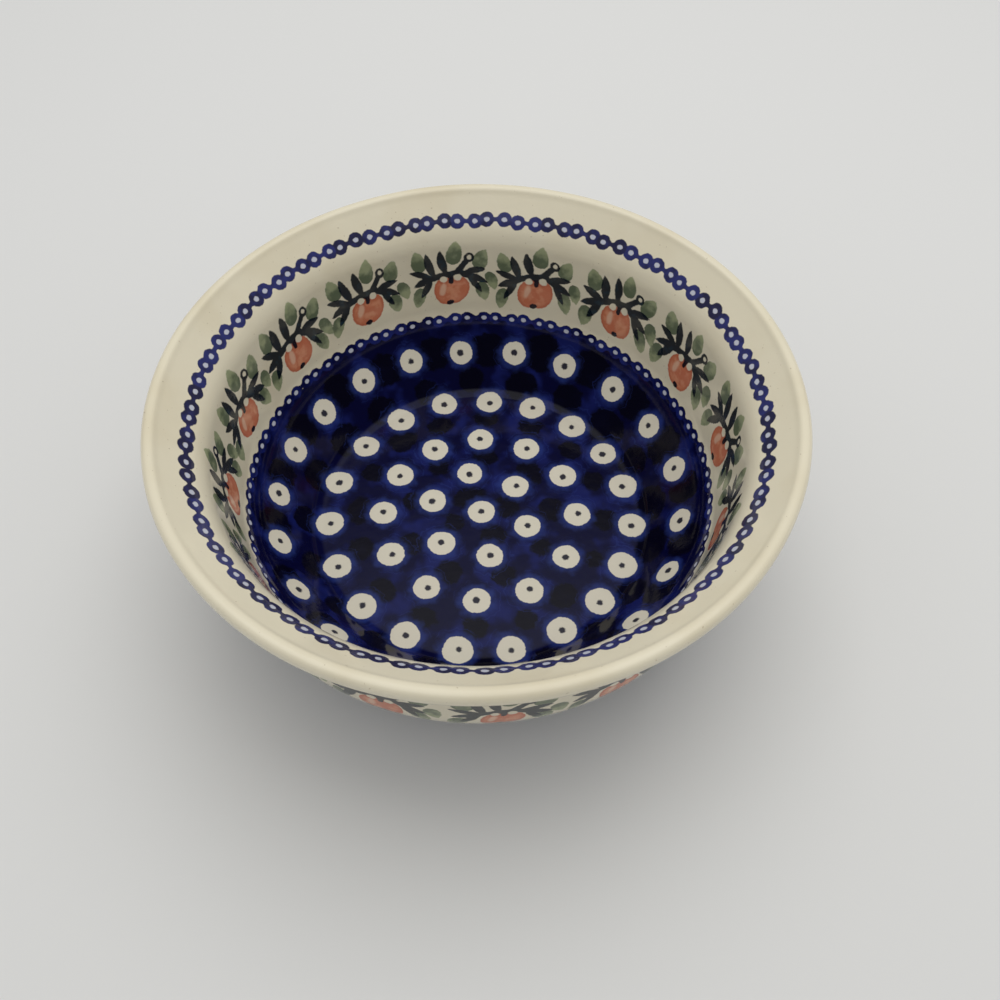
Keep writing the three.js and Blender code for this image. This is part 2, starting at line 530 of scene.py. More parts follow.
class TurnedMesh:
    """Points of a turned piece in the terms that its decoration uses, in millimetres."""

    BACK_STRIP = 0.04
    MARGIN = 0.004
    FACE_SLACK = 1e-4
    AXIS_REACH = 1e-3

    def __init__(self, mesh: bpy.types.Mesh, section: Section) -> None:
        """Reads the points.

        Args:
            mesh: The piece's mesh.
            section: The line that it was turned from.
        """
        self.mesh = mesh
        self.section = section
        count = len(mesh.vertices)
        flat = np.empty(3 * count, np.float32)
        mesh.vertices.foreach_get("co", flat)
        self.points = flat.reshape(-1, 3).astype(float) / MM
        self.radius = np.hypot(self.points[:, 0], self.points[:, 1])
        self.angle = np.arctan2(self.points[:, 1], self.points[:, 0])
        place = np.empty(count, np.float32)
        mesh.attributes[PLACE].data.foreach_get("value", place)
        self.place = place.astype(float)
        self.corner_points = np.empty(len(mesh.loops), np.int32)
        mesh.loops.foreach_get("vertex_index", self.corner_points)
        self.sides = np.empty(len(mesh.polygons), np.int32)
        mesh.polygons.foreach_get("loop_total", self.sides)
        self.starts = np.concatenate([[0], np.cumsum(self.sides)[:-1]])
        self._read_corners()

    def _read_corners(self) -> None:
        """Works out the place and the angle of each face's corners, without a jump where they start again."""
        face = np.repeat(np.arange(len(self.sides)), self.sides)
        place = self.place[self.corner_points]
        lowest = np.minimum.reduceat(place, self.starts)[face]
        highest = np.maximum.reduceat(place, self.starts)[face]
        if self.section.closed:
            girth = self.section.girth
            place = np.where((highest - lowest > girth / 2) & (place < girth / 2), place + girth, place)
        self.corner_place = place
        hidden = np.maximum.reduceat(place, self.starts) > self.section.face_length + self.FACE_SLACK
        middle = np.add.reduceat(self.points[self.corner_points], self.starts) / self.sides[:, None]
        centre = np.arctan2(middle[:, 1], middle[:, 0])[face]
        angle = self.angle[self.corner_points]
        on_axis = self.radius[self.corner_points] < self.AXIS_REACH
        turn = np.where(on_axis, 0.0, (angle - centre + math.pi) % FULL_TURN - math.pi)
        self.corner_angle = centre + turn
        self.face_angle = centre
        self.corner_hidden = hidden[face]

    def paint(self, name: Paint, values: np.ndarray) -> None:
        """Writes one field of the decoration on the points."""
        self.mesh.attributes.new(name.value, "FLOAT", "POINT").data.foreach_set("value", values)

    def paint_all(self, fields: dict[Paint, np.ndarray]) -> None:
        """Writes several fields of the decoration on the points."""
        for name, values in fields.items():
            self.paint(name, values)

    def sharpen(self) -> None:
        """Marks the edges between the face that shows and the rest as sharp, so that it is lit by itself."""
        edges = np.empty(len(self.mesh.loops), np.int32)
        self.mesh.loops.foreach_get("edge_index", edges)
        hidden = self.corner_hidden.astype(np.int8)
        low = np.full(len(self.mesh.edges), 2, np.int8)
        high = np.full(len(self.mesh.edges), -1, np.int8)
        np.minimum.at(low, edges, hidden)
        np.maximum.at(high, edges, hidden)
        sharp = self.mesh.attributes.new("sharp_edge", "BOOLEAN", "EDGE")
        sharp.data.foreach_set("value", (low == 0) & (high == 1))

    def _lay(self, across: np.ndarray, up: np.ndarray) -> None:
        """Writes the map that the colours are kept on, with the hidden faces as a low strip along its bottom.

        Args:
            across: Place from left to right of each face corner, where its face shows.
            up: Place from bottom to top of each face corner, where its face shows.
        """
        turned = np.clip((self.corner_angle + math.pi) / FULL_TURN, 0, 1)
        length = max(self.section.girth - self.section.face_length, TINY)
        along = np.clip((self.corner_place - self.section.face_length) / length, 0, 1)
        back_across = self.MARGIN + (1 - 2 * self.MARGIN) * turned
        back_up = self.MARGIN + (self.BACK_STRIP - 2 * self.MARGIN) * along
        places = np.where(self.corner_hidden, [back_across, back_up], [across, up]).T
        layer = self.mesh.uv_layers.new(name=BAKE_MAP)
        layer.uv.foreach_set("vector", places.astype(np.float32).ravel())

    def _along(self) -> np.ndarray:
        """Gives how far along the face each face corner is, from 0 to 1."""
        return np.clip(self.corner_place / self.section.face_length, 0, 1)

    def lay_as_bands(self, folds: int) -> None:
        """Lays the face out as equal bands, one above the other.

        Args:
            folds: How many bands.
        """
        share = FULL_TURN / folds
        band = np.clip(np.floor((self.face_angle + math.pi) / share), 0, folds - 1)
        within = (self.corner_angle + math.pi) / share - band
        height = (1 - self.BACK_STRIP) / folds
        across = self.MARGIN + (1 - 2 * self.MARGIN) * within
        low = self.BACK_STRIP + height * band + self.MARGIN
        self._lay(across, low + (height - 2 * self.MARGIN) * self._along())

    def lay_as_disc(self) -> None:
        """Lays the face out as a disc above the strip of hidden faces."""
        reach = ((1 - self.BACK_STRIP) / 2 - self.MARGIN) * self._along()
        across = 0.5 + reach * np.cos(self.corner_angle)
        self._lay(across, (1 + self.BACK_STRIP) / 2 + reach * np.sin(self.corner_angle))


@dataclass(frozen=True)
class Leaf:
    """A pointed leaf, which is fuller towards its base where its fullness is below 1."""

    base: complex
    tip: complex
    half_width: float
    fullness: float = 1.0

    def distance(self, points: np.ndarray) -> np.ndarray:
        """Gives how far points are from the leaf's edge.

        Args:
            points: Places in the frame of the stamp.

        Returns:
            The distances, below 0 inside.
        """
        half_length = abs(self.tip - self.base) / 2
        local = (points - self.base) * heading(self.base, self.tip).conjugate()
        share = local.real / (2 * half_length)
        share = np.sign(share) * np.abs(share) ** self.fullness
        radius = (half_length**2 + self.half_width**2) / (2 * self.half_width)
        return np.hypot(half_length * (2 * share - 1), np.abs(local.imag) + radius - self.half_width) - radius

    def share_along(self, points: np.ndarray) -> np.ndarray:
        """Gives how far along the leaf points are, from 0 at its base to 1 at its tip."""
        return ((points - self.base) / (self.tip - self.base)).real


@dataclass(frozen=True)
class Stroke:
    """A stroke of the brush, round at both ends."""

    start: complex
    end: complex
    start_radius: float
    end_radius: float

    def distance(self, points: np.ndarray) -> np.ndarray:
        """Gives how far points are from the stroke's edge.

        Args:
            points: Places in the frame of the stamp.

        Returns:
            The distances, below 0 inside.
        """
        run = self.end - self.start
        along = np.clip(((points - self.start) * run.conjugate()).real / abs(run) ** 2, 0, 1)
        radius = self.start_radius + (self.end_radius - self.start_radius) * along
        return np.abs(points - self.start - along * run) - radius


@dataclass(frozen=True)
class Oval:
    """An oval, with its half width, its half height and its lean in radians."""

    middle: complex
    half_width: float
    half_height: float
    lean: float = 0.0

    def distance(self, points: np.ndarray) -> np.ndarray:
        """Gives about how far points are from the oval's edge.

        Args:
            points: Places in the frame of the stamp.

        Returns:
            The distances, below 0 inside.
        """
        local = (points - self.middle) * complex(math.cos(self.lean), -math.sin(self.lean))
        scaled = np.hypot(local.real / self.half_width, local.imag / self.half_height)
        slope = np.hypot(local.real / self.half_width**2, local.imag / self.half_height**2)
        middle = -min(self.half_width, self.half_height)
        return np.where(slope > TINY, scaled * (scaled - 1) / np.maximum(slope, TINY), middle)


Mark = Leaf | Stroke | Oval


def nearest(marks: tuple[Mark, ...], points: np.ndarray) -> np.ndarray:
    """Gives how far points are from the nearest of some marks.

    Args:
        marks: The marks.
        points: Places in the frame of the stamp.

    Returns:
        The distances, below 0 inside a mark.
    """
    return np.minimum.reduce([mark.distance(points) for mark in marks])


@dataclass(frozen=True)
class StampRow:
    """A row of like marks round the bowl, set by hand: each strays, leans and sways a little.

    Fields:
        count: How many go round.
        first: Angle of the first one, in degrees.
        side: Side of the wall that they are on.
        stray: Farthest that one strays.
        lean: Farthest that one leans, in degrees.
        sway: How far its lines sway from those of the others.
        seed: Start of its random draws.
        drift: How far the marks run ahead on one side and behind on the other, in degrees.
        drift_turn: Angle that turns the sides of the drift, in degrees.
    """

    count: int
    first: float
    side: Side
    stray: float
    lean: float
    sway: float
    seed: int
    drift: float = 0.0
    drift_turn: float = 0.0

    SWAY_WAVES = (0.31, 0.23, 0.27, 0.19)

    def frames(self, mesh: TurnedMesh, middle: float) -> Iterator[tuple[np.ndarray, np.ndarray]]:
        """Gives the points' places in the frames of the marks nearest to them.

        Args:
            mesh: The piece that carries the row.
            middle: Length along the section where the marks have their origin.

        Yields:
            The places, and the number of the mark for each, three times.
        """
        draw = np.random.default_rng(self.seed)
        shift = self.stray * (draw.uniform(-1, 1, self.count) + 1j * draw.uniform(-1, 1, self.count))
        turn = np.exp(1j * math.radians(self.lean) * draw.uniform(-1, 1, self.count))
        starts = draw.uniform(0, FULL_TURN, (len(self.SWAY_WAVES), self.count))
        pitch = FULL_TURN / self.count
        drift = math.radians(self.drift) * np.sin(mesh.angle + math.radians(self.drift_turn))
        behind = mesh.angle - math.radians(self.first) - drift
        closest = np.rint(behind / pitch)
        for step in (-1, 0, 1):
            number = closest + step
            which = number.astype(int) % self.count
            across = self.side.value * (behind - number * pitch) * mesh.radius
            place = (across + 1j * (mesh.place - middle) - shift[which]) * turn[which]
            lines = (place.imag, place.real, place.real, place.imag)
            waves = zip(self.SWAY_WAVES, lines, starts)
            sways = [np.sin(wave * line + start[which]) for wave, line, start in waves]
            yield place + self.sway / 2 * (sways[0] + sways[1] + 1j * (sways[2] + sways[3])), which


@dataclass(frozen=True)
class ChainStamp:
    """One link of a chain: two rings joined by a neck that is pinched in the middle."""

    reach: float = 3.15
    ring_width: float = 2.65
    ring_height: float = 2.65
    eye_width: float = 1.0
    eye_height: float = 0.85
    shoulder: float = 1.9
    neck: float = 0.65

    @property
    def centres(self) -> tuple[complex, complex]:
        """Middles of the two rings."""
        return complex(-self.reach, 0), complex(self.reach, 0)

    def solid(self, points: np.ndarray) -> np.ndarray:
        """Gives how far points are from the link as if its rings had no eyes.

        Args:
            points: Places in the frame of the stamp.

        Returns:
            The distances, below 0 inside.
        """
        rings = tuple(Oval(centre, self.ring_width, self.ring_height) for centre in self.centres)
        necks = tuple(Stroke(centre, 0j, self.shoulder, self.neck) for centre in self.centres)
        return nearest((*rings, *necks), points)

    def eyes(self, points: np.ndarray) -> np.ndarray:
        """Gives how far points are from the eyes of the two rings.

        Args:
            points: Places in the frame of the stamp.

        Returns:
            The distances, below 0 inside an eye.
        """
        eyes = tuple(Oval(centre, self.eye_width, self.eye_height) for centre in self.centres)
        return nearest(eyes, points)


@dataclass(frozen=True)
class Chain:
    """A chain of stamped links round the bowl."""

    row: StampRow
    link: ChainStamp = ChainStamp()

    def tones(self) -> np.ndarray:
        """Draws how watery the colour of each link is, from 0 to 1."""
        return np.random.default_rng(self.row.seed + 1).uniform(0, 1, self.row.count)

    def paint(self, mesh: TurnedMesh, middle: float) -> np.ndarray:
        """Paints the chain's links, their eyes and how watery they are.

        Args:
            mesh: The piece that carries it.
            middle: Length along the section of the chain's middle.

        Returns:
            The distances to the links as if they had no eyes.
        """
        tones = self.tones()
        links = np.full(len(mesh.points), np.inf)
        eyes = links.copy()
        tone = np.zeros(len(mesh.points))
        for place, which in self.row.frames(mesh, middle):
            solid = self.link.solid(place)
            tone = np.where(solid < links, tones[which], tone)
            links = np.minimum(links, solid)
            eyes = np.minimum(eyes, self.link.eyes(place))
        mesh.paint(Paint.CHAIN, np.maximum(links, -eyes))
        mesh.paint(Paint.EYE, eyes)
        mesh.paint(Paint.WATER, tone)
        return links


@dataclass(frozen=True)
class FruitSprig:
    """A sprig with one round fruit, dark leaves, a bud and pale leaves. Its origin is under the fruit."""

    fruit: tuple[Mark, ...] = (
        Oval(complex(-1.6, 5.9), 4.9, 5.9, 0.12),
        Oval(complex(1.6, 6.0), 5.0, 6.0, -0.1),
    )
    notches: tuple[Mark, ...] = (
        Oval(complex(-2.5, 10.9), 1.4, 1.35, 0.3),
        Oval(complex(2.6, 11.1), 1.5, 1.45, -0.3),
    )
    shine: tuple[Mark, ...] = (Oval(complex(-3.0, 6.6), 1.15, 2.7, -0.18),)
    blossom_end: tuple[Mark, ...] = (Oval(complex(-0.2, 0.7), 1.4, 1.0, 0.1),)
    twig: tuple[Mark, ...] = (
        Stroke(complex(0.1, 9.4), complex(0.3, 12.4), 0.85, 1.0),
        Stroke(complex(-7.4, 11.4), complex(-3.0, 12.7), 1.3, 1.3),
        Stroke(complex(-3.0, 12.7), complex(3.4, 13.1), 1.3, 1.45),
        Stroke(complex(3.4, 13.1), complex(6.6, 11.2), 1.4, 1.2),
        Stroke(complex(2.8, 13.4), complex(6.9, 18.0), 1.25, 1.05),
    )
    dark_leaves: tuple[Mark, ...] = (
        Leaf(complex(-5.8, 11.6), complex(-8.4, 22.2), 1.7),
        Leaf(complex(-1.3, 12.8), complex(-3.0, 23.2), 1.7),
        Leaf(complex(-6.2, 11.8), complex(-15.6, 15.4), 1.4),
        Leaf(complex(-6.4, 12.0), complex(-15.0, 8.6), 1.5),
        Leaf(complex(-6.8, 11.6), complex(-12.0, 3.4), 1.45),
        Leaf(complex(4.4, 12.8), complex(14.0, 14.2), 1.4),
        Leaf(complex(5.0, 12.4), complex(14.0, 8.0), 1.5),
        Leaf(complex(6.0, 11.6), complex(11.4, 3.6), 1.3),
    )
    bud: tuple[Mark, ...] = (Oval(complex(7.6, 18.9), 1.95, 1.95),)
    bud_eye: tuple[Mark, ...] = (Oval(complex(7.7, 19.0), 0.85, 0.9),)
    pale_leaves: tuple[Leaf, ...] = (
        Leaf(complex(-10.4, 14.8), complex(-12.8, 23.2), 3.0, 0.75),
        Leaf(complex(2.0, 16.8), complex(2.6, 25.8), 2.9, 0.75),
        Leaf(complex(10.2, 14.2), complex(14.2, 22.0), 3.0, 0.75),
        Leaf(complex(-12.0, 8.0), complex(-13.6, -0.6), 2.7, 0.75),
        Leaf(complex(10.6, 8.4), complex(13.2, 0.2), 2.8, 0.75),
        Leaf(complex(14.6, 13.0), complex(16.8, 5.2), 2.5, 0.75),
    )

    def draw(self, row: StampRow, mesh: TurnedMesh, foot: float) -> dict[Paint, np.ndarray]:
        """Draws a row of sprigs.

        Args:
            row: How the sprigs go round.
            mesh: The piece that carries them.
            foot: Length along the section of the fruits' lowest points.

        Returns:
            The distances to each kind of mark, and how far along its pale leaf each point is.
        """
        kinds = (Paint.PALE_LEAF, Paint.DARK_LEAF, Paint.FRUIT, Paint.SHINE)
        drawn = {kind: np.full(len(mesh.points), np.inf) for kind in kinds}
        tone = np.zeros(len(mesh.points))
        for place, _ in row.frames(mesh, foot):
            notches = nearest(self.notches, place)
            dark = nearest((*self.twig, *self.dark_leaves, *self.bud), place)
            dark = np.maximum(dark, -nearest(self.bud_eye, place))
            dark = np.minimum(np.maximum(dark, -notches), nearest(self.blossom_end, place))
            pale = drawn[Paint.PALE_LEAF]
            for leaf in self.pale_leaves:
                away = leaf.distance(place)
                tone = np.where(away < pale, leaf.share_along(place), tone)
                pale = np.minimum(pale, away)
            stamp = {
                Paint.PALE_LEAF: pale,
                Paint.DARK_LEAF: dark,
                Paint.FRUIT: np.maximum(nearest(self.fruit, place), -notches),
                Paint.SHINE: nearest(self.shine, place),
            }
            drawn = {kind: np.minimum(drawn[kind], stamp[kind]) for kind in kinds}
        return {**drawn, Paint.TONE: np.clip(tone, 0, 1)}


@dataclass(frozen=True)
class Ring:
    """A ring of dots or dabs, set by hand and so not quite even.

    Fields:
        radius: Its radius.
        count: How many marks go round.
        first: Angle of the first one, in degrees.
        size: Size of its marks, as a share of the usual one.
        drift: How far the marks run ahead on one side and behind on the other, in degrees.
        drift_turn: Angle that turns the sides of the drift, in degrees.
        shift: Place of the ring's own middle.
    """

    radius: float
    count: int
    first: float
    size: float = 1.0
    drift: float = 0.0
    drift_turn: float = 0.0
    shift: complex = 0j

    LEAST_STRAYS = 4

    def middles(self, stray: float, draw: np.random.Generator) -> Iterator[complex]:
        """Gives the places of the marks, seen from above.

        Args:
            stray: Farthest that a mark strays.
            draw: Source of random numbers.

        Yields:
            Each place.
        """
        for number in range(self.count):
            angle = math.radians(self.first) + FULL_TURN * number / self.count
            angle += math.radians(self.drift) * math.sin(angle + math.radians(self.drift_turn))
            angle += draw.uniform(-stray, stray) / max(self.radius, self.LEAST_STRAYS * stray)
            yield (self.radius + draw.uniform(-stray, stray)) * np.exp(1j * angle) + self.shift


@dataclass(frozen=True)
class DotField:
    """Pale dots with a dark spot in each, and dark dabs of colour between them."""

    dots: tuple[Ring, ...]
    dabs: tuple[Ring, ...]
    dot_radius: float = 4.7
    spot_radius: float = 1.1
    dab_radius: float = 4.3
    dot_stray: float = 0.35
    dab_stray: float = 0.9
    seed: int = 11

    LOOK_AHEAD = 0.5
    DOT_SIZES = (0.96, 1.04)
    DOT_BULGES = ((2, 0.014), (3, 0.012), (5, 0.01))
    SPOT_SIZES = (0.9, 1.15)
    SPOT_STRAY = 0.5
    DAB_SIZES = (0.8, 1.15)
    DAB_STRETCHES = (0.9, 1.3)

    def _middles(
        self, rings: tuple[Ring, ...], face: Outline, stray: float, draw: np.random.Generator
    ) -> Iterator[tuple[np.ndarray, np.ndarray, np.ndarray, float]]:
        """Places the middles of rings of marks on the bowl.

        Args:
            rings: The rings.
            face: Section of the face that carries them.
            stray: Farthest that a mark strays.
            draw: Source of random numbers.

        Yields:
            The middle, the directions round the bowl and up the section, and the size of each mark.
        """
        lengths = face.lengths()
        for ring in rings:
            for spot in ring.middles(stray, draw):
                place = float(np.interp(abs(spot), face.points.real, lengths))
                here, ahead = (
                    complex(np.interp(place + step, lengths, face.points)) for step in (0, self.LOOK_AHEAD)
                )
                slope = heading(here, ahead)
                out = np.array([spot.real, spot.imag, 0.0]) / abs(spot)
                up = np.array([0.0, 0.0, 1.0])
                middle = here.real * out + here.imag * up
                yield middle, np.cross(up, out), slope.real * out + slope.imag * up, ring.size

    def draw(self, mesh: TurnedMesh, face: Outline) -> dict[Paint, np.ndarray]:
        """Draws the dots, their spots and the dabs.

        Args:
            mesh: The piece that carries them.
            face: Section of the face that carries them.

        Returns:
            The distances to each kind of mark.
        """
        draw = np.random.default_rng(self.seed)
        drawn = {kind: np.full(len(mesh.points), np.inf) for kind in (Paint.DOT, Paint.SPOT, Paint.DAB)}
        for middle, way_round, way_up, share in list(self._middles(self.dots, face, self.dot_stray, draw)):
            size = share * self.dot_radius * draw.uniform(*self.DOT_SIZES)
            starts = draw.uniform(0, FULL_TURN, len(self.DOT_BULGES))
            offset = draw.uniform(-self.SPOT_STRAY, self.SPOT_STRAY, 2)
            spot_size = self.spot_radius * draw.uniform(*self.SPOT_SIZES)
            reach = mesh.points - middle
            across, up = reach @ way_round, reach @ way_up
            depth = reach @ np.cross(way_round, way_up)
            turn = np.arctan2(up, across)
            shape = np.ones(len(turn))
            for (waves, height), start in zip(self.DOT_BULGES, starts):
                shape += height * np.cos(waves * turn + start)
            away = np.linalg.norm(reach, axis=1)
            drawn[Paint.DOT] = np.minimum(drawn[Paint.DOT], away - size * shape)
            spot = np.sqrt((across - offset[0]) ** 2 + (up - offset[1]) ** 2 + depth**2)
            drawn[Paint.SPOT] = np.minimum(drawn[Paint.SPOT], spot - spot_size)
        for middle, way_round, way_up, share in list(self._middles(self.dabs, face, self.dab_stray, draw)):
            size = share * self.dab_radius * draw.uniform(*self.DAB_SIZES)
            stretch = draw.uniform(*self.DAB_STRETCHES)
            reach = mesh.points - middle
            across, up = reach @ way_round, reach @ way_up
            depth = reach @ np.cross(way_round, way_up)
            away = np.sqrt((across / stretch) ** 2 + up**2 + depth**2)
            drawn[Paint.DAB] = np.minimum(drawn[Paint.DAB], away - size)
        return drawn


@dataclass(frozen=True)
class Grain:
    """A noise on a piece's own coordinates.

    Fields:
        scale: Waves per metre.
        detail: Octaves of finer noise in it.
        stretch: Scale along each axis, if they differ.
    """

    scale: float
    detail: float = 2.0
    stretch: tuple[float, float, float] | None = None


@dataclass(frozen=True)
class Edge:
    """Soft edge of a painted shape, or of a patch in a noise.

    Fields:
        outside: Value where the paint begins.
        inside: Value where it is full.
        cover: How much of it shows there, from 0 to 1.
        rag: Millimetres that the edge moves for each step of a noise.
    """

    outside: float
    inside: float
    cover: float = 1.0
    rag: float = 0.0


class Board:
    """A material's nodes, with short calls for the ones that the finishes share."""

    PATCHES = Grain(160.0)
    RIPPLES = Grain(210.0, 3.0)

    def __init__(self, name: str) -> None:
        """Starts a material with one shader.

        Args:
            name: Name of the material.
        """
        self.material = bpy.data.materials.new(name)
        self.material.use_nodes = True
        self.tree = self.material.node_tree
        self.tree.nodes.clear()
        output = self.tree.nodes.new("ShaderNodeOutputMaterial")
        self.shader = self.tree.nodes.new("ShaderNodeBsdfPrincipled")
        self.tree.links.new(self.shader.outputs["BSDF"], output.inputs["Surface"])
        self.where = self.tree.nodes.new("ShaderNodeTexCoord").outputs["Object"]

    def put(self, socket: Socket, value: object) -> None:
        """Links a socket to another one, or sets its value."""
        if isinstance(value, Socket):
            self.tree.links.new(value, socket)
        else:
            socket.default_value = value

    def field(self, name: Paint) -> Socket:
        """Reads a field of the decoration from the points.

        Args:
            name: The field.

        Returns:
            Its value.
        """
        node = self.tree.nodes.new("ShaderNodeAttribute")
        node.attribute_name = name.value
        return node.outputs["Fac"]

    def grain(self, grain: Grain) -> Socket:
        """Makes a noise.

        Args:
            grain: What it is like.

        Returns:
            The noise, round 0.5.
        """
        noise = self.tree.nodes.new("ShaderNodeTexNoise")
        noise.inputs["Scale"].default_value = grain.scale
        noise.inputs["Detail"].default_value = grain.detail
        where = self.where
        if grain.stretch:
            mapping = self.tree.nodes.new("ShaderNodeMapping")
            mapping.inputs["Scale"].default_value = grain.stretch
            self.tree.links.new(self.where, mapping.inputs["Vector"])
            where = mapping.outputs["Vector"]
        self.tree.links.new(where, noise.inputs["Vector"])
        return noise.outputs["Fac"]

    def maths(self, operation: str, first: object, second: object = 0.0) -> Socket:
        """Works out one sum.

        Args:
            operation: Blender's name for it.
            first: First value or socket.
            second: Second value or socket.

        Returns:
            The result.
        """
        node = self.tree.nodes.new("ShaderNodeMath")
        node.operation = operation
        self.put(node.inputs[0], first)
        self.put(node.inputs[1], second)
        return node.outputs["Value"]

    def between(self, value: Socket, edge: Edge) -> Socket:
        """Eases from 0 to the cover of an edge while a value goes from its outside to its inside.

        Args:
            value: The value.
            edge: The edge.

        Returns:
            The eased value.
        """
        node = self.tree.nodes.new("ShaderNodeMapRange")
        node.interpolation_type = "SMOOTHSTEP"
        numbers = {"From Min": edge.outside, "From Max": edge.inside, "To Max": edge.cover}
        for name, number in numbers.items():
            node.inputs[name].default_value = number
        self.tree.links.new(value, node.inputs["Value"])
        return node.outputs["Result"]

    def cover(self, distance: Socket, noise: Socket, edge: Edge) -> Socket:
        """Covers a shape with paint, up to an edge that a noise moves in and out.

        Args:
            distance: Distance to the shape.
            noise: The noise, round 0.5.
            edge: The edge.

        Returns:
            How much paint there is.
        """
        return self.between(self.ragged(distance, noise, edge.rag), edge)

    def ragged(self, distance: Socket, noise: Socket, amount: float) -> Socket:
        """Moves the edge of a shape in and out by a noise.

        Args:
            distance: Distance to the shape.
            noise: The noise, round 0.5.
            amount: Millimetres for each step of the noise.

        Returns:
            The new distance.
        """
        node = self.tree.nodes.new("ShaderNodeMath")
        node.operation = "MULTIPLY_ADD"
        self.put(node.inputs[0], self.maths("SUBTRACT", noise, NOISE_MIDDLE))
        node.inputs[1].default_value = amount
        self.put(node.inputs[2], distance)
        return node.outputs["Value"]

    def mix(self, share: object, below: object, above: object) -> Socket:
        """Lays one colour over another.

        Args:
            share: How much of the upper colour shows, from 0 to 1.
            below: Lower colour.
            above: Upper colour.

        Returns:
            The mixed colour.
        """
        node = self.tree.nodes.new("ShaderNodeMix")
        node.data_type = "RGBA"
        self.put(node.inputs["Factor"], share)
        self.put(node.inputs[6], below)
        self.put(node.inputs[7], above)
        return node.outputs[2]

    def relief(self, height: Socket, depth: float) -> None:
        """Raises the surface by a height.

        Args:
            height: The height, from 0 to 1.
            depth: Metres for a height of 1.
        """
        bump = self.tree.nodes.new("ShaderNodeBump")
        bump.inputs["Distance"].default_value = depth
        self.tree.links.new(height, bump.inputs["Height"])
        self.tree.links.new(bump.outputs["Normal"], self.shader.inputs["Normal"])

    def glaze_over(self, colour: Socket, roughness: float, ripple: float) -> bpy.types.Material:
        """Finishes a glazed surface.

        Args:
            colour: Colour under the glaze.
            roughness: Roughness of the glaze.
            ripple: Height in metres of the slight ripple in the glaze.

        Returns:
            The material.
        """
        self.tree.links.new(colour, self.shader.inputs["Base Color"])
        patches = self.maths("ADD", self.grain(self.PATCHES), 1 - NOISE_MIDDLE)
        self.put(self.shader.inputs["Roughness"], self.maths("MULTIPLY", patches, roughness))
        self.relief(self.grain(self.RIPPLES), ripple)
        return self.material


@dataclass(frozen=True)
class CreamGlaze:
    """Clear glaze over pale clay: a warm cream with soft clouds and a few specks of iron."""

    cream: Colour = shade(226, 218, 194)
    cloud: Colour = shade(218, 208, 181)
    speck: Colour = shade(150, 128, 98)
    cloud_grain: Grain = Grain(34.0, 3.0)
    cloud_patch: Edge = Edge(0.42, 0.72, 0.75)
    speck_grain: Grain = Grain(1300.0, 0.0)
    speck_patch: Edge = Edge(0.82, 0.86, 0.4)
    roughness: float = 0.09
    ripple: float = 0.00005

    def ground(self, board: Board) -> Socket:
        """Lays the cream.

        Args:
            board: The material.

        Returns:
            Its colour.
        """
        clouds = board.between(board.grain(self.cloud_grain), self.cloud_patch)
        colour = board.mix(clouds, self.cream, self.cloud)
        specks = board.between(board.grain(self.speck_grain), self.speck_patch)
        return board.mix(specks, colour, self.speck)


@dataclass(frozen=True)
class CobaltGlaze:
    """Cobalt under glaze: dark dabs on navy, a lighter blue round each dot, and strokes that don't meet.

    Fields:
        streak_reach: How far from a dot's edge the strokes go round it, in millimetres.
        gloss: Specular level of the glaze.
    """

    navy: Colour = shade(6, 7, 46)
    deep: Colour = shade(4, 3, 18)
    wash: Colour = shade(21, 29, 90)
    halo: Colour = shade(40, 56, 122)
    dot: Colour = shade(212, 206, 189)
    spot: Colour = shade(13, 15, 40)
    brush: Grain = Grain(330.0, 3.0)
    fine: Grain = Grain(1100.0, 1.0)
    broad: Grain = Grain(95.0)
    wash_patch: Edge = Edge(0.46, 0.66, 0.85)
    dab_edge: Edge = Edge(0.7, -0.7, 0.95, 3.4)
    halo_edge: Edge = Edge(3.0, -0.2, 0.66, 4.4)
    streak_edge: Edge = Edge(0.34, 0.05, 0.25, 5.0)
    streak_reach: float = 3.1
    streak_patch: Edge = Edge(0.4, 0.6)
    dot_edge: Edge = Edge(0.16, -0.16, 1.0, 0.55)
    spot_edge: Edge = Edge(0.3, -0.25, 0.96, 0.8)
    roughness: float = 0.09
    ripple: float = 0.00005
    gloss: float = 0.2

    def ground(self, board: Board) -> Socket:
        """Lays the cobalt with its dots.

        Args:
            board: The material.

        Returns:
            Its colour.
        """
        brush, fine, broad = (board.grain(grain) for grain in (self.brush, self.fine, self.broad))
        dot = board.field(Paint.DOT)
        colour = board.mix(board.between(broad, self.wash_patch), self.navy, self.wash)
        colour = board.mix(board.cover(board.field(Paint.DAB), brush, self.dab_edge), colour, self.deep)
        colour = board.mix(board.cover(dot, brush, self.halo_edge), colour, self.halo)
        ring = board.maths("SUBTRACT", board.ragged(dot, brush, self.streak_edge.rag), self.streak_reach)
        strokes = board.between(board.maths("ABSOLUTE", ring), self.streak_edge)
        streaks = board.maths("MULTIPLY", strokes, board.between(broad, self.streak_patch))
        colour = board.mix(streaks, colour, self.halo)
        colour = board.mix(board.cover(dot, fine, self.dot_edge), colour, self.dot)
        return board.mix(board.cover(board.field(Paint.SPOT), fine, self.spot_edge), colour, self.spot)


